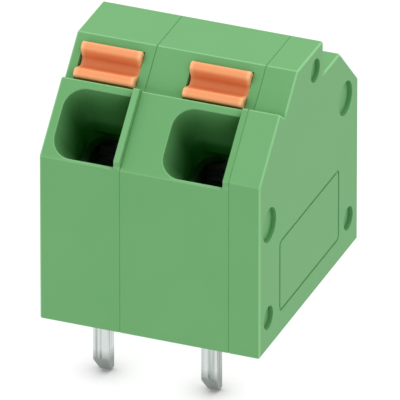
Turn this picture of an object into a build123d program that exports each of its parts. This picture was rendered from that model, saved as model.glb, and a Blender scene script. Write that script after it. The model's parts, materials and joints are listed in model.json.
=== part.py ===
from build123d import *
import os
from math import cos, radians, sin, sqrt, tan

# A push-in spring terminal block for circuit boards: two housing slices and an end cover,
# and in each slice a bent contact with its solder pin, a leaf spring and a push button.
# Millimetres. X runs along the row of positions, Y from front to back, Z up from the board.
# The origin is the middle of the underside, where the block sits on the board.

# The row
positions = 2
pitch = 5.08

# The side profile. Its front slope and the button's slope both lie at 45 degrees.
depth = 11.8
height = 11.93
front_height = 8.0
step_up_slope = 3.70
step_depth = 0.40
step_lean = 0.10
proud = 0.30
top_back = 7.55
ledge_height = 10.27
ledge_back = 9.60
back_height = 8.0
edge_radius = 0.12
ridge_radius = 0.08

# Walls across the row
opening_width = 3.04
rim = 0.28
outer_wall = 0.43
cover_thickness = 1.47
end_radius = 0.10
seam_chamfer = 0.025

# Wire entry: a funnel, then a short neck that leads from its square throat to a round guide
entry_up_slope = 1.25
entry_low = 0.12
entry_high = 3.36
entry_corner = 0.95
entry_right_corner = 0.12
funnel_depth = 2.2
throat_corner = 0.40
neck_depth = 0.45
neck_flat = 0.03
guide_radius = 0.93
guide_length = 0.75
mouth_round = 0.06

# Push button
button_clearance = 0.04
side_clearance = 0.03
right_wall = 0.17
button_height = 1.67
button_rise = 0.32
button_edge = 0.04
lip_width = 0.38
lip_round = 0.15
lower_lip_lead = 0.05
scoop_depth = 0.55
scoop_draft = 0.30
scoop_round = 0.24
head_length = 1.90
nose_low = 1.55
nose_high = 3.30
nose_reach = 4.50
nose_top_reach = 2.90
nose_radius = 0.18
nose_width = 2.5
stop_wall = 2.10
stop_gap = 0.03

# Contact: one strip, bent into a ramp and an upright, with the solder pin at its foot
strip = 0.80
contact_width = 2.8
pin_width = 0.72
pin_y = 2.60
pin_length = 3.55
pin_corner = 0.06
coin_line = 0.07
front_bevel = (0.42, 0.80)
left_bevel = (0.22, 0.55)
tip_round = 0.09
bend_radius = 0.62
ramp_drop = 1.0
ramp_lead = 0.5
upright_at = 8.80
upright_top = 3.30
floor_thickness = 0.80
contact_clearance = 0.05

# Clamp spring: a leaf that wraps a moulded post
leaf = 0.30
leaf_width = 2.4
post_at = 4.17
post_up = 4.34
post_radius = 0.36
leaf_inner_radius = 0.41
leg_angle = 63.0
arm_angle = 20.0
tail_low = 1.8
tail_bend = 0.5
seat_gap = 0.02

# Pegs that join the pieces: place from the front and from the board, and the dimple behind
large_peg = 0.55
small_peg = 0.35
large_dimple = 0.80
small_dimple = 0.55
peg_length = 0.85
peg_clearance = 0.03
dimple_depth = 0.20
peg_places = (
    (6.58, 10.93, small_peg, small_dimple),
    (10.28, 7.73, large_peg, large_dimple),
    (1.10, 6.07, large_peg, large_dimple),
    (1.00, 1.54, small_peg, small_dimple),
    (10.66, 1.57, small_peg, small_dimple),
)
pad_clearance = 0.08

# The plain panel on the end cover, outlined by a shallow groove
panel_front = 2.31
panel_back = 9.54
panel_low = 1.10
panel_high = 4.64
panel_corner = 0.30
groove_width = 0.13
groove_depth = 0.05

# Cuts run past the surface they open by this much, and points this near each other are the same
past = 1.0
same = 1e-4

# Places that follow from those sizes
first_width = outer_wall + opening_width + rim
row_length = first_width + (positions - 1) * pitch + cover_thickness
row_start = -row_length / 2
half = 1 / sqrt(2)
entry_y = entry_up_slope * half
entry_z = front_height + entry_up_slope * half
ridge_up = step_up_slope - entry_up_slope
step_up = ridge_up + step_lean
button_low = step_up + button_clearance
button_high = button_low + button_height
button_face = step_depth - button_rise
ramp_line = -ramp_drop - strip / 2
leaf_radius = leaf_inner_radius + leaf / 2
room_low = nose_low - button_clearance
guide_end = funnel_depth + neck_depth + guide_length


def seam(k):
    """The plane where slice k ends and the next piece begins."""
    return row_start + first_width + k * pitch


def centre(k):
    """The middle of position k: its entry, button, spring and contact."""
    return seam(k) - rim - opening_width / 2


def upright_plane(x):
    """The side view: first axis from the front to the back, second axis up from the board."""
    return Plane(origin=(x, -depth / 2, 0), x_dir=(0, 1, 0), z_dir=(1, 0, 0))


def slope_plane(x):
    """The side view turned to the slope: first axis inwards along the wire, second up the slope."""
    origin = (x, entry_y - depth / 2, entry_z)
    return Plane(origin=origin, x_dir=(0, half, -half), z_dir=(1, 0, 0))


def face_plane(x, inwards=0.0):
    """The front slope itself, seen square on: first axis along the row, second up the slope."""
    origin = (x, entry_y + inwards * half - depth / 2, entry_z - inwards * half)
    return Plane(origin=origin, x_dir=(1, 0, 0), z_dir=(0, -half, half))


def from_slope(inwards, up):
    """A slope point as distances from the front and from the board."""
    return entry_y + (inwards + up) * half, entry_z + (up - inwards) * half


def polygon(points):
    return make_face(Polyline(*points, close=True))


def rounded(face, corners, radius):
    """Rounds the corners of a face that lie at the given points."""
    chosen = [v for v in face.vertices() if any(abs(v.X - a) + abs(v.Y - b) < same for a, b in corners)]
    return fillet(chosen, radius)


def side_profile(raised):
    """The outer side view. raised is how far the lower slope stands out of the slices' slope."""
    brow_y = from_slope(step_depth, 0)[0] + height - from_slope(step_depth, 0)[1]
    foot = (0, 0)
    chin = (0, front_height + raised / half)
    ridge = from_slope(-raised, ridge_up)
    step_foot = from_slope(step_depth, step_up)
    brow = (brow_y, height)
    crown = (top_back, height)
    ledge_foot = (top_back, ledge_height)
    ledge_edge = (ledge_back, ledge_height)
    shoulder = (depth, back_height)
    heel = (depth, 0)
    face = polygon(
        (foot, chin, ridge, step_foot, brow, crown, ledge_foot, ledge_edge, shoulder, heel)
    )
    face = rounded(face, (chin, brow, crown, ledge_edge, shoulder), edge_radius)
    return rounded(face, (ridge,), ridge_radius)


def outline_edges(piece, x):
    """The edges that lie in the plane across the row at x."""
    return piece.edges().filter_by_position(Axis.X, x - same, x + same)


def funnel(k):
    """The wire funnel: wide at the slope, with large corners on the left, narrowing to the guide."""
    wide, narrow = opening_width / 2, guide_radius
    mouth_low, mouth_high = entry_low - entry_up_slope, entry_high - entry_up_slope
    neck_corner = guide_radius - neck_flat

    def section(low, high, reach, left_corner, right_corner, inwards):
        face = polygon(((-reach, low), (reach, low), (reach, high), (-reach, high)))
        face = rounded(face, ((-reach, low), (-reach, high)), left_corner)
        face = rounded(face, ((reach, low), (reach, high)), right_corner)
        return face_plane(centre(k), inwards) * face

    mouth = section(mouth_low, mouth_high, wide, entry_corner, entry_right_corner, 0)
    throat = section(-narrow, narrow, narrow, throat_corner, throat_corner, funnel_depth)
    neck = section(-narrow, narrow, narrow, neck_corner, neck_corner, funnel_depth + neck_depth)
    tapers = [loft([wide_end.face(), end.face()]) for wide_end, end in ((mouth, throat), (throat, neck))]
    return extrude(mouth, past) + tapers


def mouth_edges(piece, k):
    """The edges where the funnel breaks through the slope."""
    slope = face_plane(centre(k))
    low, high = entry_low - entry_up_slope, entry_high - entry_up_slope
    reach = opening_width / 2
    found = []
    for edge in piece.edges():
        places = [slope.to_local_coords(edge @ t) for t in (0, 0.5, 1)]
        on_slope = all(abs(p.Z) < same and low - same < p.Y < high + same for p in places)
        if on_slope and abs(places[1].X) < reach + same:
            found.append(edge)
    return found


def guide(k):
    """The round hole that leads the wire from the neck to the clamping point."""
    return extrude(face_plane(centre(k), guide_end) * Circle(guide_radius), guide_length)


def first_corner():
    """Where the pin's middle line would meet the ramp's, from the front and from the board."""
    return pin_y, entry_y + entry_z + 2 * half * ramp_line - pin_y


def contact_line():
    """The middle line of the contact strip: up from the pin, down the ramp, up the upright."""
    foot = (pin_y, floor_thickness + seat_gap)
    heel = from_slope(upright_at, ramp_line)
    top = from_slope(upright_at, upright_top)
    return FilletPolyline(foot, first_corner(), heel, top, radius=bend_radius)


def flat_ramp_start():
    """How far in, along the slope, the contact's first bend runs out into the flat ramp."""
    from_front, from_board = first_corner()
    inwards = ((from_front - entry_y) - (from_board - entry_z)) * half
    return inwards + bend_radius * tan(radians(135 / 2))


def spring_line():
    """The middle line of the leaf: clamping leg, wrap round the post, arm and tail."""
    leg, arm = radians(leg_angle), radians(arm_angle)
    wrap_start = (post_at - leaf_radius * sin(leg), post_up - leaf_radius * cos(leg))
    lowest = -ramp_drop + seat_gap + leaf / 2 * cos(leg)
    leg_length = (wrap_start[1] - lowest) / sin(leg)
    tip = (wrap_start[0] + leg_length * cos(leg), lowest)
    wrap = CenterArc((post_at, post_up), leaf_radius, 180 + 90 - leg_angle, leg_angle - arm_angle - 180)
    wrap_end = wrap @ 1
    tail_at = upright_at - strip / 2 - seat_gap - leaf / 2
    elbow = (tail_at, wrap_end.Y - (tail_at - wrap_end.X) * tan(arm))
    tail = FilletPolyline(wrap_end, elbow, (tail_at, tail_low), radius=tail_bend)
    return Line(tip, wrap_start) + wrap + tail


def room(gap=0.0):
    """The space for spring, ramp and button nose, drawn on the slope plane; gap shrinks it."""
    ramp_bare = flat_ramp_start() - ramp_lead
    arm_top = post_up + leaf_radius + leaf
    arm_end = arm_top + leaf - (upright_at - post_at) * tan(radians(arm_angle))
    wrap_left = post_at - leaf_radius
    button_top = button_high + button_clearance
    face = polygon(
        (
            (stop_wall, room_low),
            (guide_end, room_low),
            (guide_end, -ramp_drop),
            (ramp_bare, -ramp_drop),
            (ramp_bare, ramp_line),
            (upright_at, ramp_line),
            (upright_at, arm_end),
            (post_at, arm_top),
            (wrap_left, arm_top),
            (wrap_left - leaf, button_top),
            (stop_wall, button_top),
        )
    )
    return offset(face, -gap, kind=Kind.INTERSECTION) if gap else face


def button_channel(k):
    """The straight shaft that the button's head slides in, closed on both sides."""
    low, high = step_up, button_high + button_clearance
    face = polygon(((-past, low), (stop_wall, low), (stop_wall, high), (-past, high)))
    return extrude(slope_plane(centre(k) - opening_width / 2) * face, opening_width - right_wall)


def mechanism_cut(k):
    """All that is cut from slice k for the moving and conducting parts, open at its right side."""
    left = centre(k) - opening_width / 2
    width = opening_width + rim
    channel = trace(contact_line(), strip + 2 * contact_clearance)
    slot_x = centre(k) - pin_width / 2 - contact_clearance
    slot_top = floor_thickness + seat_gap
    slot_sizes = (seam(k) - slot_x, strip + 2 * contact_clearance, slot_top + past)
    slot = Box(*slot_sizes, align=(Align.MIN, Align.CENTER, Align.MAX))
    return (
        extrude(slope_plane(left) * room(), width)
        + extrude(upright_plane(left) * channel, width)
        + Pos(slot_x, pin_y - depth / 2, slot_top) * slot
        + button_channel(k)
    )


def post(k):
    """The moulded post that the spring wraps."""
    left = centre(k) - opening_width / 2
    length = opening_width - pad_clearance
    return extrude(slope_plane(left) * Pos(post_at, post_up) * Circle(post_radius), length)


def joining_face(k):
    """What stands out of a left face into slice k: pegs, a pad over the room and a tongue by the pin."""
    pegs = [
        extrude(upright_plane(seam(k) - peg_length) * Pos(y, z) * Circle(radius), peg_length)
        for y, z, radius, _ in peg_places
    ]
    pad = extrude(slope_plane(seam(k) - rim) * room(pad_clearance), rim)
    tongue_x = centre(k) + pin_width / 2 + contact_clearance
    tongue_sizes = (seam(k) - tongue_x, strip, floor_thickness - 2 * contact_clearance)
    tongue = Box(*tongue_sizes, align=(Align.MIN, Align.CENTER, Align.MIN))
    return pegs + [pad, Pos(tongue_x, pin_y - depth / 2, contact_clearance) * tongue]


def sockets(k):
    """The holes in slice k's right face that take the next piece's pegs."""
    reach = peg_length + peg_clearance
    return [
        extrude(upright_plane(seam(k) - reach) * Pos(y, z) * Circle(radius + peg_clearance), reach + past)
        for y, z, radius, _ in peg_places
    ]


def housing_slice(k):
    """One slice: closed on its left, open on its right, where the next piece closes it."""
    left = seam(k - 1) if k else row_start
    piece = extrude(upright_plane(left) * side_profile(0), seam(k) - left)
    if k:
        piece = chamfer(outline_edges(piece, left), seam_chamfer)
    else:
        piece = fillet(outline_edges(piece, left), end_radius)
    piece -= funnel(k)
    piece = fillet(mouth_edges(piece, k), mouth_round)
    piece += extrude(upright_plane(seam(k) - rim) * side_profile(proud), rim)
    piece = chamfer(outline_edges(piece, seam(k)), seam_chamfer)
    piece = piece - guide(k) - mechanism_cut(k) - sockets(k)
    piece += post(k)
    if k:
        piece += joining_face(k - 1)
    return piece


def end_cover():
    """The plate that closes the last slice, with dimples behind its pegs and a plain panel."""
    last = positions - 1
    right = seam(last) + cover_thickness
    piece = extrude(upright_plane(seam(last)) * side_profile(proud), cover_thickness)
    piece = fillet(outline_edges(piece, right), end_radius)
    piece = chamfer(outline_edges(piece, seam(last)), seam_chamfer)
    for y, z, _, radius in peg_places:
        piece -= extrude(upright_plane(right - dimple_depth) * Pos(y, z) * Circle(radius), past)
    long, tall = panel_back - panel_front, panel_high - panel_low
    outer = RectangleRounded(long, tall, panel_corner)
    inner = RectangleRounded(long - 2 * groove_width, tall - 2 * groove_width, panel_corner - groove_width)
    middle = Pos((panel_front + panel_back) / 2, (panel_low + panel_high) / 2)
    piece -= extrude(upright_plane(right - groove_depth) * middle * (outer - inner), past)
    return piece + joining_face(last)


def solder_pin():
    """The pin: a coined line down its front, and an end bevelled at the front and on the left."""
    top = floor_thickness + seat_gap
    front, left = -strip / 2, -pin_width / 2
    coined = polygon(((-coin_line, front), (0, front + coin_line), (coin_line, front)))
    section = chamfer(Rectangle(pin_width, strip).vertices(), pin_corner) - coined
    pin = extrude(Plane.XY.offset(-pin_length) * section, pin_length + top)
    for plane, edge, (run, rise) in ((Plane.YZ, front, front_bevel), (Plane.XZ, left, left_bevel)):
        corner = polygon(((edge, -pin_length), (edge + run, -pin_length), (edge, rise - pin_length)))
        pin -= extrude(plane * corner, past, both=True)
    end = pin.faces().sort_by(Axis.Z)[0]
    return chamfer(end.edges(), tip_round)


def contact(k):
    """One stamped strip with the pin at its foot."""
    left = centre(k) - contact_width / 2
    blade = extrude(upright_plane(left) * trace(contact_line(), strip), contact_width)
    return blade + Pos(centre(k), pin_y - depth / 2, 0) * solder_pin()


def clamp_spring(k):
    """One bent leaf: its leg's edge clamps the wire on the ramp."""
    left = centre(k) - leaf_width / 2
    return extrude(slope_plane(left) * trace(spring_line(), leaf), leaf_width)


def push_button(k):
    """The button: two lips with a scoop between them for the screwdriver, a stem and a nose."""
    low, high, top = button_low, button_high, button_face
    lead = top - lower_lip_lead
    scoop_low, scoop_high = low + lip_width, high - lip_width
    floor = top + scoop_depth
    floor_low, floor_high = (floor, scoop_low + scoop_draft), (floor, scoop_high - scoop_draft)
    shoulder = stop_wall + stop_gap
    tip_low = (nose_reach, nose_low)
    tip_high = (nose_reach, nose_low + 2 * nose_radius)
    face = polygon(
        (
            (lead, low),
            (shoulder, low),
            (shoulder, nose_low),
            tip_low,
            tip_high,
            (nose_top_reach, nose_high),
            (head_length, nose_high),
            (head_length, high),
            (top, high),
            (top, scoop_high),
            floor_high,
            floor_low,
            (lead, scoop_low),
        )
    )
    face = rounded(face, ((lead, low), (lead, scoop_low), (top, scoop_high), (top, high)), lip_round)
    face = rounded(face, (floor_low, floor_high), scoop_round)
    face = rounded(face, (tip_low, tip_high), nose_radius)
    width = opening_width - right_wall - 2 * side_clearance
    left = centre(k) - opening_width / 2 + side_clearance
    piece = extrude(slope_plane(left) * face, width)
    for x in (left, left + width):
        piece = chamfer([e for e in outline_edges(piece, x) if head_edge(e)], button_edge)
    spare = (width - nose_width) / 2
    beside = Pos(shoulder, 0) * Rectangle(nose_reach, high + past, align=(Align.MIN, Align.MIN))
    for start in (left, left + width - spare):
        piece -= extrude(slope_plane(start) * beside, spare)
    return piece


def head_edge(edge):
    """True for an edge of the button's profile that shows in the slope: its lips and its scoop."""
    inwards = [slope_plane(0).to_local_coords(edge @ t).X for t in (0.05, 0.95)]
    return max(inwards) < button_face + scoop_depth + same


os.makedirs("parts", exist_ok=True)
for k in range(positions):
    number = k + 1
    export_step(housing_slice(k), f"parts/housing_slice_{number}.step")
    export_step(contact(k), f"parts/contact_{number}.step")
    export_step(clamp_spring(k), f"parts/clamp_spring_{number}.step")
    export_step(push_button(k), f"parts/push_button_{number}.step")
export_step(end_cover(), "parts/end_cover.step")
print(f"row {row_length:.2f} long, {depth:.2f} deep, {height + pin_length:.2f} high with the pins")
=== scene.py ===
# %% [markdown]
# # A spring terminal block for circuit boards
# The real object is a block about 10 mm long that is soldered to a circuit board. Two green housing
# slices and an end cover are pegged together side by side. Each slice holds one orange push button,
# one bent contact that ends in a solder pin, and one leaf spring that clamps the wire.
#
# The shapes of the moulded and stamped pieces come from the CAD model, which is loaded as a fixed
# frame. This file adds what the eye needs: finishes, the springs as meshes of their own, light and a
# camera. Everything is in metres, in the CAD model's own frame: X along the row, Y from the wire
# side to the back, Z up from the board.

# %% Start from an empty scene and load the frame
import json
from math import cos, pi, radians, sin, tan

import bpy
import numpy as np
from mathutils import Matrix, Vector

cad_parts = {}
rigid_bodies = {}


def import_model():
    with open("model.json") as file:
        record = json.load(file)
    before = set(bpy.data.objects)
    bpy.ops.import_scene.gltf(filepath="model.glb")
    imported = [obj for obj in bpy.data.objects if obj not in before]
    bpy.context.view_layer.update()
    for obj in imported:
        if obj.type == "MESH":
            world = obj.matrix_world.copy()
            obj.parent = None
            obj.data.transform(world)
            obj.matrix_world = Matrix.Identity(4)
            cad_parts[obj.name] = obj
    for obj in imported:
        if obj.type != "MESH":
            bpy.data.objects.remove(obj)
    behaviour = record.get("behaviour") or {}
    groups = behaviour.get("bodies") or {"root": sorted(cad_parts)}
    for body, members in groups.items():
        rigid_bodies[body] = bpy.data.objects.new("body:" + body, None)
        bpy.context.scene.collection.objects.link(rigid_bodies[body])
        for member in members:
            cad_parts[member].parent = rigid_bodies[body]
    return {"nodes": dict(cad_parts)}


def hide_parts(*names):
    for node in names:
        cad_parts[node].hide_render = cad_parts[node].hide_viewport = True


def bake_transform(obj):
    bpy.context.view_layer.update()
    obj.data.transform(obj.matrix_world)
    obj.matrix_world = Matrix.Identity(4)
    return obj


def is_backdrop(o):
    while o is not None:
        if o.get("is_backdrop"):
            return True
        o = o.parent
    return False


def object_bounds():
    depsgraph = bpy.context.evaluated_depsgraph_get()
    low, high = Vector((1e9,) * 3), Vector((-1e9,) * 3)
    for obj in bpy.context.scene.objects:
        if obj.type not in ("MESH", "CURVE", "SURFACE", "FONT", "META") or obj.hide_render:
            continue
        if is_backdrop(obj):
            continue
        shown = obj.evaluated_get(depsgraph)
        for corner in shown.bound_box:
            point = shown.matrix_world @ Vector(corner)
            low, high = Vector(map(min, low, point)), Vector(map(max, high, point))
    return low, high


for start_object in list(bpy.data.objects):
    bpy.data.objects.remove(start_object)

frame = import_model()
cad_low, cad_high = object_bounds()
nodes = frame["nodes"]
mm = 0.001
print("nodes:", ", ".join(sorted(nodes)))
print("size in mm:", [round(side / mm, 2) for side in cad_high - cad_low])

# %% [markdown]
# ## How a finish is built
# A node tree could be wired by hand in the shader editor. Written as a list of steps it is easier to
# read and to change, so a few small helpers come first. `step` adds one node and sets its sockets,
# either to a value or to another node's output. The others are the steps that come back all the time:
# a sum, a product, a ramp from one value to another, and a mix of two tones.

# %% Helpers for node trees


def step(tree, kind, settings=None, **inputs):
    """Adds one node to the tree. Inputs go by socket name, with _ for a space, or by number as i0, i1."""
    node = tree.nodes.new(kind)
    for name, value in (settings or {}).items():
        setattr(node, name, value)
    for name, value in inputs.items():
        socket = node.inputs[int(name[1:])] if name[1:].isdigit() else node.inputs[name.replace("_", " ")]
        if isinstance(value, bpy.types.NodeSocket):
            tree.links.new(value, socket)
        else:
            socket.default_value = value
    return node


def work(tree, operation, first, second=0.0):
    """One sum on two masks or numbers. An operation that needs only one number ignores the second."""
    return step(tree, "ShaderNodeMath", {"operation": operation}, i0=first, i1=second).outputs[0]


def product(tree, first, *others):
    """All the masks and numbers multiplied together."""
    for other in others:
        first = work(tree, "MULTIPLY", first, other)
    return first


def ramp(tree, value, low, high, at_low=0.0, at_high=1.0):
    """at_low where the value is low or beyond it, at_high where it is high or beyond it, even in between."""
    limits = {"From_Min": low, "From_Max": high, "To_Min": at_low, "To_Max": at_high}
    return step(tree, "ShaderNodeMapRange", Value=value, **limits).outputs[0]


def mix_tones(tree, share, first, second):
    """The first colour where the share is 0, the second where it is 1."""
    return step(tree, "ShaderNodeMix", {"data_type": "RGBA"}, i0=share, i6=first, i7=second).outputs[2]


def axes(tree, kind):
    """X, Y and Z of one output of Texture Coordinate: Object is the place, Normal is where a face looks."""
    return step(tree, "ShaderNodeSeparateXYZ", i0=step(tree, "ShaderNodeTexCoord").outputs[kind]).outputs


def linear(red, green, blue):
    """A colour as a paint chart gives it, 0 to 255, turned into the linear light that shaders use."""
    chart = np.array([red, green, blue]) / 255
    return (*np.where(chart <= 0.04045, chart / 12.92, ((chart + 0.055) / 1.055) ** 2.4), 1.0)


print("a middle grey of the paint chart in linear light:", round(linear(128, 128, 128)[0], 3))

# %% Helpers for materials


def new_material(name):
    """A material with nothing but a Principled shader and its output."""
    material = bpy.data.materials.new(name)
    material.use_nodes = True
    tree = material.node_tree
    shader = next(node for node in tree.nodes if node.type == "BSDF_PRINCIPLED")
    return material, tree, shader


def paint(material, *pieces):
    """Gives the pieces this one material."""
    for piece in pieces:
        piece.data.materials.clear()
        piece.data.materials.append(material)


print("materials before the first finish:", len(bpy.data.materials))

# %% [markdown]
# ## Moulded grain
# A steel mould is spark-eroded, which leaves a very fine matt grain on the plastic, and the melt
# cools unevenly, which leaves faint clouds in its tone. A picture of plastic could be wrapped round
# the pieces, but its seams would show. Both effects are noise on Object coordinates instead, so they
# have no seam and stay fixed to the piece. The green and the orange plastic share them, so they are
# one node group with its own inputs.

# %% The node group for moulded grain
grain_detail = 4.0
cloud_detail = 2.0


def make_grain_group():
    """Noise in two sizes. Grain is fine and for bumps, Cloud is wide and for tone and gloss."""
    group = bpy.data.node_groups.new("moulded grain", "ShaderNodeTree")
    group.interface.new_socket("Grain per mm", in_out="INPUT", socket_type="NodeSocketFloat")
    group.interface.new_socket("Clouds per mm", in_out="INPUT", socket_type="NodeSocketFloat")
    group.interface.new_socket("Grain", in_out="OUTPUT", socket_type="NodeSocketFloat")
    group.interface.new_socket("Cloud", in_out="OUTPUT", socket_type="NodeSocketFloat")
    start = group.nodes.new("NodeGroupInput")
    end = group.nodes.new("NodeGroupOutput")
    where = step(group, "ShaderNodeTexCoord").outputs["Object"]
    in_mm = step(group, "ShaderNodeMapping", Vector=where, Scale=(1 / mm,) * 3).outputs[0]
    grain = step(group, "ShaderNodeTexNoise", Vector=in_mm, Scale=start.outputs[0], Detail=grain_detail)
    cloud = step(group, "ShaderNodeTexNoise", Vector=in_mm, Scale=start.outputs[1], Detail=cloud_detail)
    group.links.new(grain.outputs["Fac"], end.inputs["Grain"])
    group.links.new(cloud.outputs["Fac"], end.inputs["Cloud"])
    return group


grain_group = make_grain_group()
print("group:", grain_group.name, [item.name for item in grain_group.interface.items_tree])

# %% [markdown]
# ## Painted highlights on edges and painted shade in crevices
# Where two faces meet, a rounded edge catches light from more sides, and in grooves less light gets in.
# Both are painted into the colour: a lighter tone along the rounded edges is a painted highlight, and
# a darker tone in the grooves is painted shade. An Ambient Occlusion node that looks into the material
# finds the edges, since a ray sent inwards near an edge soon leaves again, and one that looks outwards
# finds the grooves. The housing's flat faces all look along the row or at a multiple of 45 degrees
# around it, so there the normal itself tells a rounding from a flat face, and the painted light line is
# as narrow as the rounding.
#
# A pair of numbers, here and further on, says where a mask is 0 and where it is 1.

# %% The node group for edges and crevices
light_in_crevice = (0.95, 0.22)
light_inside_edge = (0.95, 0.66)
light_on_outside = (0.87, 0.97)
bend_along = (0.05, 0.30)
bend_across = (0.10, 0.50)
slope_normal = (0.70, 0.72)
blunt_share = 0.45
ray_samples = 8


def make_edge_group():
    """Three masks for painted light: Edge near outer edges and Rounding on the roundings alone, for painted
    highlights, and Crevice in grooves and funnels, for painted shade.

    Edge and Crevice come from short rays. Rounding comes from the normal: a is its part along the row,
    squared, t its turn around the row, and the mask is the larger of 4 a (1 - a) and
    (sin 4t)(sin 4t)(1 - a). The second of these counts less on the blunt edges, which look less far up
    than the slope does.
    """
    group = bpy.data.node_groups.new("edges and crevices", "ShaderNodeTree")
    group.interface.new_socket("Edge reach", in_out="INPUT", socket_type="NodeSocketFloat")
    group.interface.new_socket("Crevice reach", in_out="INPUT", socket_type="NodeSocketFloat")
    for output in ("Edge", "Rounding", "Crevice"):
        group.interface.new_socket(output, in_out="OUTPUT", socket_type="NodeSocketFloat")
    start = group.nodes.new("NodeGroupInput")
    end = group.nodes.new("NodeGroupOutput")
    inwards, outwards = (
        step(
            group,
            "ShaderNodeAmbientOcclusion",
            {"inside": inside, "only_local": True, "samples": ray_samples},
            Distance=reach,
        ).outputs["AO"]
        for inside, reach in ((True, start.outputs[0]), (False, start.outputs[1]))
    )
    crevice = ramp(group, outwards, *light_in_crevice)
    painted_highlight = product(group, ramp(group, inwards, *light_inside_edge), work(group, "SUBTRACT", 1.0, crevice))

    normal = axes(group, "Normal")
    along = product(group, normal["X"], normal["X"])
    across = work(group, "SUBTRACT", 1.0, along)
    turn = work(group, "ARCTAN2", normal["Z"], normal["Y"])
    wave = work(group, "SINE", product(group, turn, 4.0))
    bent_along = ramp(group, product(group, along, across, 4.0), *bend_along)
    bent_across = ramp(group, product(group, wave, wave, across), *bend_across)
    sharp = ramp(group, normal["Z"], *slope_normal, blunt_share, 1.0)
    bent = work(group, "MAXIMUM", bent_along, product(group, bent_across, sharp))
    rounding = product(group, bent, ramp(group, outwards, *light_on_outside))
    for output, mask in (("Edge", painted_highlight), ("Rounding", rounding), ("Crevice", crevice)):
        group.links.new(mask, end.inputs[output])
    return group


edge_group = make_edge_group()
print("group:", edge_group.name, [item.name for item in edge_group.interface.items_tree])

# %% [markdown]
# ## A moulded plastic
# All the plastic pieces are a coloured polyamide with a satin face. The body colour is mixed from two
# near tones by the cloud mask, darkened by painted shade in the crevices and lightened by painted
# highlights along the edges, and the gloss goes up and down a little with the same clouds. One function
# makes all three plastics. What only one of them needs is handed in as another function, which may
# change the two masks.

# %% The plastic's material
grain_per_mm = 11.0
clouds_per_mm = 0.35
grain_strength = 0.5
plastic_specular = 0.2


def edges_and_crevices(tree, masks):
    """The plain case: Edge is the mask of the painted highlight, Crevice that of the painted shade."""
    return masks["Edge"], masks["Crevice"]


def plastic(
    name,
    deep,
    pale,
    painted_highlight,
    painted_shade,
    edge_reach,
    shade_reach,
    rough_low,
    rough_high,
    grain_height,
    choose_masks=edges_and_crevices,
):
    """A satin plastic. deep and pale are its two tones. The third tone is a painted highlight on the edges,
    the fourth painted shade in the hollows.

    The two reaches say how far the group of edges and crevices looks. choose_masks takes the tree and the
    group's outputs, and hands back the mask for the painted highlight and the mask for the painted shade.
    """
    material, tree, shader = new_material(name)
    grain, masks = (
        step(tree, "ShaderNodeGroup", {"node_tree": group}, i0=first, i1=second).outputs
        for group, first, second in (
            (grain_group, grain_per_mm, clouds_per_mm),
            (edge_group, edge_reach, shade_reach),
        )
    )
    highlight_mask, shade_mask = choose_masks(tree, masks)
    tone = mix_tones(tree, grain["Cloud"], deep, pale)
    shaded = mix_tones(tree, shade_mask, tone, painted_shade)
    body = mix_tones(tree, highlight_mask, shaded, painted_highlight)
    rough = ramp(tree, grain["Cloud"], 0.0, 1.0, rough_low, rough_high)
    bump = step(tree, "ShaderNodeBump", Strength=grain_strength, Distance=grain_height, Height=grain["Grain"])
    tree.links.new(body, shader.inputs["Base Color"])
    tree.links.new(rough, shader.inputs["Roughness"])
    tree.links.new(bump.outputs[0], shader.inputs["Normal"])
    shader.inputs["Specular IOR Level"].default_value = plastic_specular
    return material


# %% The buttons' finish
orange = plastic(
    "orange_polyamide",
    deep=linear(243, 148, 94),
    pale=linear(248, 156, 102),
    # A painted highlight on the edges and painted shade in the hollows:
    painted_highlight=linear(255, 192, 138),
    painted_shade=linear(196, 98, 52),
    edge_reach=0.25 * mm,
    shade_reach=1.2 * mm,
    rough_low=0.34,
    rough_high=0.44,
    grain_height=0.003 * mm,
)
paint(orange, nodes["push_button_1"], nodes["push_button_2"])
print("painted:", orange.name)

# %% [markdown]
# ## Where two green pieces meet
# The slices and the cover are pressed together, so at the two seams no rounded edge catches light, and
# the painted highlight has to stop there. Left of the first seam stands a narrow rim that is proud of
# the slope and takes a share of the painted highlight as a whole. The seams lie at fixed places along
# the row, so plain ramps on the Object coordinates find them.
#
# On the slope the places are easier to give in two other directions. Up is Y plus Z, which grows up
# the slope, and out is Z minus Y, which grows out of it. Each grows by 1.41 for a way of 1.

# %% Masks at the seams
first_seam = -1.40 * mm
second_seam = 3.68 * mm
seam_edge = (0.04 * mm, 0.06 * mm)
rim_right = (0.0, 0.01 * mm)
rim_left = (0.30 * mm, 0.28 * mm)
proud_out = (14.20 * mm, 14.28 * mm)
rim_highlight_share = 0.35


def slope_places(tree):
    """The place with its X, Y and Z, then up, which is Y plus Z, and out, which is Z minus Y."""
    place = axes(tree, "Object")
    return place, work(tree, "ADD", place["Y"], place["Z"]), work(tree, "SUBTRACT", place["Z"], place["Y"])


def spare_seams(tree, highlight_mask, x, out):
    """Takes the mask of the painted highlight away at both seams, and lifts it to rim_highlight_share on the
    proud rim.
    """
    for seam in (first_seam, second_seam):
        away = work(tree, "ABSOLUTE", work(tree, "SUBTRACT", seam, x))
        highlight_mask = product(tree, highlight_mask, ramp(tree, away, *seam_edge))
    left_of = work(tree, "SUBTRACT", first_seam, x)
    on_rim = product(tree, ramp(tree, left_of, *rim_right), ramp(tree, left_of, *rim_left))
    rim = product(tree, on_rim, ramp(tree, out, *proud_out), rim_highlight_share)
    return work(tree, "MAXIMUM", highlight_mask, rim)


print("seams at X in mm:", round(first_seam / mm, 2), round(second_seam / mm, 2))
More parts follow.
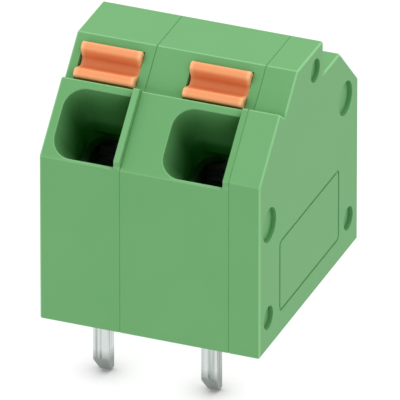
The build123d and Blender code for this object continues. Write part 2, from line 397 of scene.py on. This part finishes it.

# %% [markdown]
# ## Green polyamide on the slices
# The wire funnels are the darkest places of the block. Light comes in from the front and above, so the
# wall under the button is dark from its edge on, the left wall darkens on the way in, and the foot of
# the funnel stays lighter. The lamps alone give only a part of this, because light bounces about in
# pale plastic, so the rest is painted shade: the hollow tone, whose share follows the depth, the height
# and where the wall looks. A little of that painted shade also lies on the upper slope beside the
# buttons, and the lower lip of each mouth takes some of the painted highlight of the edges.

# %% The funnels' walls
funnel_in = (13.34 * mm, 11.78 * mm)
throat_in = (11.60 * mm, 11.00 * mm)
funnel_down = (6.1 * mm, 2.6 * mm)
looking_up = (0.0, 1.4)
mouth_share, inner_share = 1.35, 0.92
throat_more = 0.25
side_mouth_less, side_inner_less = 0.33, -0.40
side_foot_less = 0.62
up_share = 0.5


def funnel_share(tree, up, out):
    """How much of the Crevice mask counts as painted shade on a funnel's wall. Over 1 means that it is full
    earlier.

    The share goes from mouth_share to inner_share on the way in, with throat_more in the throat. From
    it goes the squared part of the normal along the row, times what side walls have less: a number
    that falls on the way in and grows down the funnel. Walls that look up keep up_share of the rest.
    """
    facing = axes(tree, "Normal")
    sideways = product(tree, facing["X"], facing["X"])
    on_the_way_in = ramp(tree, out, *funnel_in, mouth_share, inner_share)
    upright = work(tree, "ADD", on_the_way_in, ramp(tree, out, *throat_in, 0.0, throat_more))
    less_in = ramp(tree, out, *funnel_in, side_mouth_less, side_inner_less)
    less = work(tree, "ADD", less_in, ramp(tree, up, *funnel_down, 0.0, side_foot_less))
    share = work(tree, "SUBTRACT", upright, product(tree, sideways, less))
    looks_up = work(tree, "ADD", facing["Y"], facing["Z"])
    return product(tree, share, ramp(tree, looks_up, *looking_up, 1.0, up_share))


print("crevice share from the mouth inwards:", mouth_share, "to", inner_share)

# %% Masks of the slices
mouth_head = (7.19 * mm, 6.99 * mm)
upper_slope = (7.46 * mm, 7.76 * mm)
light_by_button = (0.95, 0.45)
button_shade_reach = 1.2 * mm
button_shade_share = 0.45
lip_head = (2.34 * mm, 2.26 * mm)
lip_foot = (2.06 * mm, 2.12 * mm)
lip_out = (13.6 * mm, 13.8 * mm)
lip_highlight_share = 0.5


def slice_masks(tree, masks):
    """The slices' masks: painted highlights on roundings and the mouths' lower lips, and painted shade in the
    funnels and by the buttons.
    """
    place, up, out = slope_places(tree)
    funnel_shade = product(tree, masks["Crevice"], ramp(tree, up, *mouth_head), funnel_share(tree, up, out))
    near = step(tree, "ShaderNodeAmbientOcclusion", {"samples": ray_samples}, Distance=button_shade_reach)
    by_button = ramp(tree, near.outputs["AO"], *light_by_button)
    button_shade = product(tree, by_button, ramp(tree, up, *upper_slope), button_shade_share)
    on_lip = product(tree, ramp(tree, up, *lip_head), ramp(tree, up, *lip_foot), ramp(tree, out, *lip_out))
    lip_highlight = product(tree, on_lip, masks["Edge"], lip_highlight_share)
    highlight_mask = spare_seams(tree, masks["Rounding"], place["X"], out)
    return work(tree, "MAXIMUM", highlight_mask, lip_highlight), work(tree, "MAXIMUM", funnel_shade, button_shade)


print("reach of the shade by the buttons in mm:", button_shade_reach / mm)

# %% The slices' finish
green_facts = dict(
    deep=linear(108, 171, 108),
    pale=linear(114, 176, 114),
    # A painted highlight on the edges:
    painted_highlight=linear(140, 200, 140),
    edge_reach=0.18 * mm,
    rough_low=0.42,
    rough_high=0.52,
    grain_height=0.006 * mm,
)
green = plastic(
    "green_polyamide",
    # Painted shade in the funnels and by the buttons:
    painted_shade=linear(17, 78, 16),
    shade_reach=4.5 * mm,
    choose_masks=slice_masks,
    **green_facts,
)
paint(green, nodes["housing_slice_1"], nodes["housing_slice_2"])
print("painted:", green.name)

# %% [markdown]
# ## Green polyamide on the end cover
# The cover is the same plastic with no funnel in it. Its deepest places are five shallow dimples, so
# the painted shade is paler and its reach is short. The label panel's groove is shallower still and
# takes only a tenth of that painted shade. The cover's lower slope is proud, like the rim, and carries a
# little of the painted highlight.

# %% The cover's masks and finish
panel_front = (-3.75 * mm, -3.65 * mm)
panel_back = (3.80 * mm, 3.70 * mm)
panel_top = (4.80 * mm, 4.70 * mm)
panel_share = 0.1
proud_highlight_share = 0.15


def cover_masks(tree, masks):
    """The cover's masks: painted highlights on roundings and the proud slope, and painted shade in dimples
    and a share of the panel's groove.
    """
    place, up, out = slope_places(tree)
    along_panel = product(tree, ramp(tree, place["Y"], *panel_front), ramp(tree, place["Y"], *panel_back))
    panel = product(tree, along_panel, ramp(tree, place["Z"], *panel_top))
    shade_mask = product(tree, masks["Crevice"], ramp(tree, panel, 0.0, 1.0, 1.0, panel_share))
    proud = product(tree, ramp(tree, out, *proud_out), proud_highlight_share)
    highlight_mask = work(tree, "MAXIMUM", masks["Rounding"], proud)
    return spare_seams(tree, highlight_mask, place["X"], out), shade_mask


green_cover = plastic(
    "green_polyamide_cover",
    # Painted shade in the dimples and the panel's groove:
    painted_shade=linear(80, 142, 84),
    shade_reach=0.35 * mm,
    choose_masks=cover_masks,
    **green_facts,
)
paint(green_cover, nodes["end_cover"])
print("painted:", green_cover.name)

# %% [markdown]
# ## Tinned contact and spring steel
# The contact is stamped from copper alloy and plated with bright tin. Rolling and stamping leave fine
# bands and scratches along the pin, so tone and roughness come from noise that is stretched along Z.
# Towards the tips the tone turns darker, which is painted shade for the shadowed table close under
# them, and the tips are less metallic, so that they scatter light instead of mirroring the table. The
# spring's steel is made by the same function, with its scratches across the leaf and no darker tips.

# %% The metals
bright_bands = (0.36, 0.58)
scratch_detail = 3.0
scratch_strength = 0.4
dull_metallic = 0.25
dull_fade = 0.3 * mm


def drawn_metal(name, dark, bright, rough_low, rough_high, stretch, scratch_height, tip_shade=None):
    """A metal with scratches along one direction. stretch gives the lines per mm along X, Y and Z.

    dull is a darker tone, painted shade for the shadowed table close under the tips, then the height where
    it is full and the height above it where it has faded out.
    """
    material, tree, shader = new_material(name)
    where = step(tree, "ShaderNodeTexCoord").outputs["Object"]
    stretched = step(tree, "ShaderNodeMapping", Vector=where, Scale=[per_mm / mm for per_mm in stretch])
    noise = step(tree, "ShaderNodeTexNoise", Vector=stretched.outputs[0], Scale=1.0, Detail=scratch_detail)
    lines = noise.outputs["Fac"]
    tone = mix_tones(tree, ramp(tree, lines, *bright_bands), dark, bright)
    rough = ramp(tree, lines, 0.0, 1.0, rough_low, rough_high)
    bump = step(tree, "ShaderNodeBump", Strength=scratch_strength, Distance=scratch_height, Height=lines)
    shader.inputs["Metallic"].default_value = 1.0
    if tip_shade:
        tip_shade_tone, full, gone = tip_shade
        height = axes(tree, "Object")["Z"]
        tone = mix_tones(tree, ramp(tree, height, gone, full), tone, tip_shade_tone)
        metallic = ramp(tree, height, full, full + dull_fade, dull_metallic, 1.0)
        tree.links.new(metallic, shader.inputs["Metallic"])
    tree.links.new(tone, shader.inputs["Base Color"])
    tree.links.new(rough, shader.inputs["Roughness"])
    tree.links.new(bump.outputs[0], shader.inputs["Normal"])
    return material


tin = drawn_metal(
    "bright_tin",
    dark=linear(146, 156, 152),
    bright=linear(230, 235, 233),
    rough_low=0.12,
    rough_high=0.30,
    stretch=(5.0, 5.0, 0.12),
    scratch_height=0.012 * mm,
    # Darker towards the tips: painted shade for the shadowed table under them.
    tip_shade=(linear(146, 154, 148), -2.96 * mm, -2.34 * mm),
)
paint(tin, nodes["contact_1"], nodes["contact_2"])

steel = drawn_metal(
    "spring_steel",
    dark=linear(150, 150, 155),
    bright=linear(190, 190, 194),
    rough_low=0.22,
    rough_high=0.38,
    stretch=(1.0, 8.0, 8.0),
    scratch_height=0.004 * mm,
)
print("metals:", tin.name, steel.name)

# %% [markdown]
# ## The clamp springs
# Each spring is one steel leaf. A long leg reaches down to the contact, a half turn wraps a moulded
# post, and an arm runs back to a short tail that rests on the contact's upright. When the button goes
# in, its nose pushes the leg, so the wrap stays still and the leg swings. The CAD model holds the
# spring at rest, and this mesh takes its place with the same outline.
#
# The spring lies in the tilted plane of the front slope, so its path is written there: the first
# number is the distance inwards along the wire, the second the distance up the slope, in millimetres.

# %% The path of the leaf
post_at = np.array([4.17, 4.34])
leaf_radius = 0.56
leg_tip = np.array([6.218, -0.912])
leg_angle = radians(63)
arm_angle = radians(20)
tail_inwards = 8.23
tail_low = 1.80
tail_radius = 0.50
spacing = 0.12


def straight(start, end):
    """Evenly spaced points from start up to, but not with, end. About one per spacing."""
    count = max(2, int(np.hypot(*(end - start)) / spacing))
    return start + (end - start) * np.linspace(0, 1, count, endpoint=False)[:, None]


def turn(middle, radius, first, last):
    """Points on a circle round the middle, from the first angle up to, but not with, the last."""
    count = max(6, int(abs(last - first) * radius / spacing * 2))
    angles = np.linspace(first, last, count, endpoint=False)
    return middle + radius * np.stack([np.cos(angles), np.sin(angles)], axis=1)


def leaf_path():
    """The leaf's middle line: leg, wrap, arm, a rounded elbow and the tail."""
    wrap_first = 1.5 * pi - leg_angle
    wrap_last = pi / 2 - arm_angle
    wrap_end = post_at + leaf_radius * np.array([cos(wrap_last), sin(wrap_last)])
    elbow = np.array([tail_inwards, wrap_end[1] - (tail_inwards - wrap_end[0]) * tan(arm_angle)])
    back = tail_radius * tan((pi / 2 - arm_angle) / 2)
    along_arm = np.array([-cos(arm_angle), sin(arm_angle)])
    arm_end = elbow + back * along_arm
    middle = np.array([tail_inwards - tail_radius, elbow[1] - back])
    wrap = turn(post_at, leaf_radius, wrap_first, wrap_last)
    corner = turn(middle, tail_radius, pi / 2 - arm_angle, 0.0)
    tail_top = np.array([tail_inwards, elbow[1] - back])
    tail_end = np.array([tail_inwards, tail_low])
    leg = straight(leg_tip, wrap[0])
    arm = straight(wrap_end, arm_end)
    return np.concatenate([leg, wrap, arm, corner, straight(tail_top, tail_end), tail_end[None]])


path = leaf_path()
print("points along the leaf:", len(path))

# %% [markdown]
# The leaf's body is a grid of points. Along the path goes one index, round the leaf's section the
# other. The section is a rectangle with small round corners, since the edges of a real leaf are
# tumbled smooth. A curve with a bevel profile would give the same form, but with arrays each point's
# place is plain to see. The section's first axis lies across the leaf, its second along the path's
# normal.

# %% The leaf's section
leaf_width = 2.4
leaf_thickness = 0.30
leaf_corner = 0.06


def round_rectangle(width, thickness, corner, steps=4):
    """A closed loop of points: in each corner a quarter circle of the given radius, turning left."""
    angles = np.linspace(0, pi / 2, steps + 1)
    loops = []
    for turned, (side, up) in enumerate(((1, 1), (-1, 1), (-1, -1), (1, -1))):
        a = angles + turned * pi / 2
        middle = np.array([side * (width / 2 - corner), up * (thickness / 2 - corner)])
        loops.append(middle + corner * np.stack([np.cos(a), np.sin(a)], axis=1))
    return np.concatenate(loops)


section = round_rectangle(leaf_width, leaf_thickness, leaf_corner)
print("points round the section:", len(section))

# %% Carry the section along the path
slope_start_y = -5.0161
slope_start_z = 8.8839


def slope_to_row(inwards, up):
    """Turns slope distances in mm into the row frame's Y and Z in metres: both axes are tilted 45 degrees."""
    half = 2 ** -0.5
    return (slope_start_y + (inwards + up) * half) * mm, (slope_start_z + (up - inwards) * half) * mm


def sweep(name, path, section, centre_x):
    """Point (s, r) is path point s, plus the section's point r along X and along the path's normal."""
    along = np.gradient(path, axis=0)
    along /= np.linalg.norm(along, axis=1)[:, None]
    normal = np.stack([-along[:, 1], along[:, 0]], axis=1)
    stations, round_count = len(path), len(section)
    flat = path[:, None, :] + section[None, :, 1, None] * normal[:, None, :]
    x = np.broadcast_to((centre_x + section[:, 0]) * mm, (stations, round_count))
    y, z = slope_to_row(flat[..., 0], flat[..., 1])
    points = np.stack([x, y, z], axis=-1).reshape(-1, 3)
    s, r = np.meshgrid(np.arange(stations - 1), np.arange(round_count), indexing="ij")
    here, after = s * round_count, (r + 1) % round_count
    corners = (here + r, here + after, here + round_count + after, here + round_count + r)
    sides = np.stack(corners, axis=-1).reshape(-1, 4)
    last = (stations - 1) * round_count
    ends = [list(range(round_count - 1, -1, -1)), list(range(last, last + round_count))]
    mesh = bpy.data.meshes.new(name)
    mesh.from_pydata(points.tolist(), [], sides.tolist() + ends)
    mesh.polygons.foreach_set("use_smooth", [True] * len(sides) + [False] * len(ends))
    mesh.update()
    piece = bpy.data.objects.new(name, mesh)
    bpy.context.scene.collection.objects.link(piece)
    return piece


print("the slope's zero in the row frame, in mm:", slope_start_y, slope_start_z)

# %% [markdown]
# Each spring is swept at its own place along the row and takes the steel finish, and the CAD model's
# spring that it replaces is hidden.

# %% Two springs
spring_centres = {1: -3.20, 2: 1.88}
for number, centre_x in spring_centres.items():
    spring = sweep(f"bending_spring_{number}", path, section, centre_x)
    paint(steel, spring)
    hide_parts(f"clamp_spring_{number}")
    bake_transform(spring)
    print(spring.name, "vertices:", len(spring.data.vertices))

# %% [markdown]
# ## The floor
# The block stands on its pins' tips above a white light table. The table's own light brings it to
# white and lights the block from below. Ambient Occlusion with a short reach takes some of that light
# away close to the tips, which gives the small soft shadow that a lit table shows there. Mirrored in
# the tin and scattered on the green, the table counts for a little less than the camera sees of it.

# %% The floor
floor_side = 400 * mm
floor_gap = 0.03 * mm
floor_z = cad_low.z - floor_gap
floor_corners = [(x * floor_side, y * floor_side, floor_z) for x, y in ((-1, -1), (1, -1), (1, 1), (-1, 1))]
floor_mesh = bpy.data.meshes.new("floor")
floor_mesh.from_pydata(floor_corners, [], [(0, 1, 2, 3)])
floor = bpy.data.objects.new("floor", floor_mesh)
bpy.context.scene.collection.objects.link(floor)
floor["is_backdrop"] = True
print("floor at z =", round(floor_z / mm, 2), "mm")

# %% The floor's material
floor_tone = 0.09
floor_roughness = 0.9
light_at_tips = (0.35, 0.96)
shadow_samples = 16
shadow_reach = 1.8 * mm
shadow_glow = 0.24
open_glow = 0.97
glossy_share = 0.82
diffuse_share = 0.90

floor_material, floor_tree, floor_shader = new_material("white_table")
floor_shader.inputs["Base Color"].default_value = (floor_tone, floor_tone, floor_tone, 1.0)
floor_shader.inputs["Roughness"].default_value = floor_roughness
floor_shader.inputs["Specular IOR Level"].default_value = 0.0
floor_shader.inputs["Emission Color"].default_value = (1.0, 1.0, 1.0, 1.0)
near_tips = step(floor_tree, "ShaderNodeAmbientOcclusion", {"samples": shadow_samples}, Distance=shadow_reach)
glow = ramp(floor_tree, near_tips.outputs["AO"], *light_at_tips, shadow_glow, open_glow)
floor_rays = step(floor_tree, "ShaderNodeLightPath").outputs
mirrored = ramp(floor_tree, floor_rays["Is Glossy Ray"], 0.0, 1.0, 1.0, glossy_share)
scattered = ramp(floor_tree, floor_rays["Is Diffuse Ray"], 0.0, 1.0, 1.0, diffuse_share)
floor_tree.links.new(product(floor_tree, glow, mirrored, scattered), floor_shader.inputs["Emission Strength"])
paint(floor_material, floor)
print("painted:", floor_material.name)

# %% [markdown]
# ## Light
# A plain studio: an even white surround that is a little brighter overhead than at the horizon, and
# two large soft panels that give the rounded edges their bright lines. A picture of a real studio
# could light the block as well, but this way each level is one number.

# %% The surround
horizon_level = 0.66
overhead_level = 1.0
heights = (-0.2, 1.0)

world = bpy.data.worlds.new("studio")
world.use_nodes = True
bpy.context.scene.world = world
sky = world.node_tree
background = next(node for node in sky.nodes if node.type == "BACKGROUND")
lift = ramp(sky, axes(sky, "Generated")["Z"], *heights, horizon_level, overhead_level)
sky_rays = step(sky, "ShaderNodeLightPath").outputs
seen = work(sky, "MAXIMUM", sky_rays["Is Camera Ray"], sky_rays["Is Transmission Ray"])
level = step(sky, "ShaderNodeMix", i0=seen, i2=lift, i3=1.0)
sky.links.new(level.outputs[0], background.inputs["Strength"])
background.inputs["Color"].default_value = (1.0, 1.0, 1.0, 1.0)
print("surround:", world.name)

# %% Two soft panels


def soft_panel(name, side, power, azimuth, elevation, distance):
    """A square area lamp that faces the object from that bearing. Azimuth 0 is the front, 90 the right."""
    lamp = bpy.data.lights.new(name, "AREA")
    lamp.size = side
    lamp.energy = power
    panel = bpy.data.objects.new(name, lamp)
    bpy.context.scene.collection.objects.link(panel)
    a, e = radians(azimuth), radians(elevation)
    towards = Vector((sin(a) * cos(e), -cos(a) * cos(e), sin(e)))
    panel.location = towards * distance
    panel.rotation_euler = towards.to_track_quat("Z", "Y").to_euler()
    return panel


soft_panel("overhead panel", side=90 * mm, power=0.032, azimuth=150, elevation=68, distance=110 * mm)
soft_panel("left front panel", side=70 * mm, power=0.006, azimuth=-30, elevation=26, distance=120 * mm)

# %% [markdown]
# ## Camera
# The photograph has almost no perspective, so the camera has a very long lens and stands far away. It
# is aimed at the point of the object that lies in the middle of the photograph.

# %% The camera
camera_azimuth = radians(21.45)
camera_elevation = radians(28.45)
picture_width = 17.516 * mm
lens = 1600.0
sensor = 36.0
aim_right = 0.033 * mm
aim_up = 3.398 * mm

distance = picture_width * lens / sensor
towards_camera = Vector(
    (
        sin(camera_azimuth) * cos(camera_elevation),
        -cos(camera_azimuth) * cos(camera_elevation),
        sin(camera_elevation),
    )
)
camera_right = Vector((cos(camera_azimuth), sin(camera_azimuth), 0))
camera_up = towards_camera.cross(camera_right)
lens_data = bpy.data.cameras.new("camera")
lens_data.lens = lens
lens_data.sensor_width = sensor
lens_data.clip_start = distance / 10
lens_data.clip_end = distance * 10
camera = bpy.data.objects.new("camera", lens_data)
bpy.context.scene.collection.objects.link(camera)
camera.location = camera_right * aim_right + camera_up * aim_up + towards_camera * distance
camera.rotation_mode = "QUATERNION"
camera.rotation_quaternion = towards_camera.to_track_quat("Z", "Y")
bpy.context.scene.camera = camera
bpy.context.scene.view_settings.view_transform = "Standard"
print("camera at", [round(value, 3) for value in camera.location])

# %% Sizes, and the checks at the end
seen_low, seen_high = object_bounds()
pairs = zip([*seen_low, *seen_high], [*cad_low, *cad_high])
print("grown by mm:", [round((seen_side - cad_side) / mm, 3) for seen_side, cad_side in pairs])
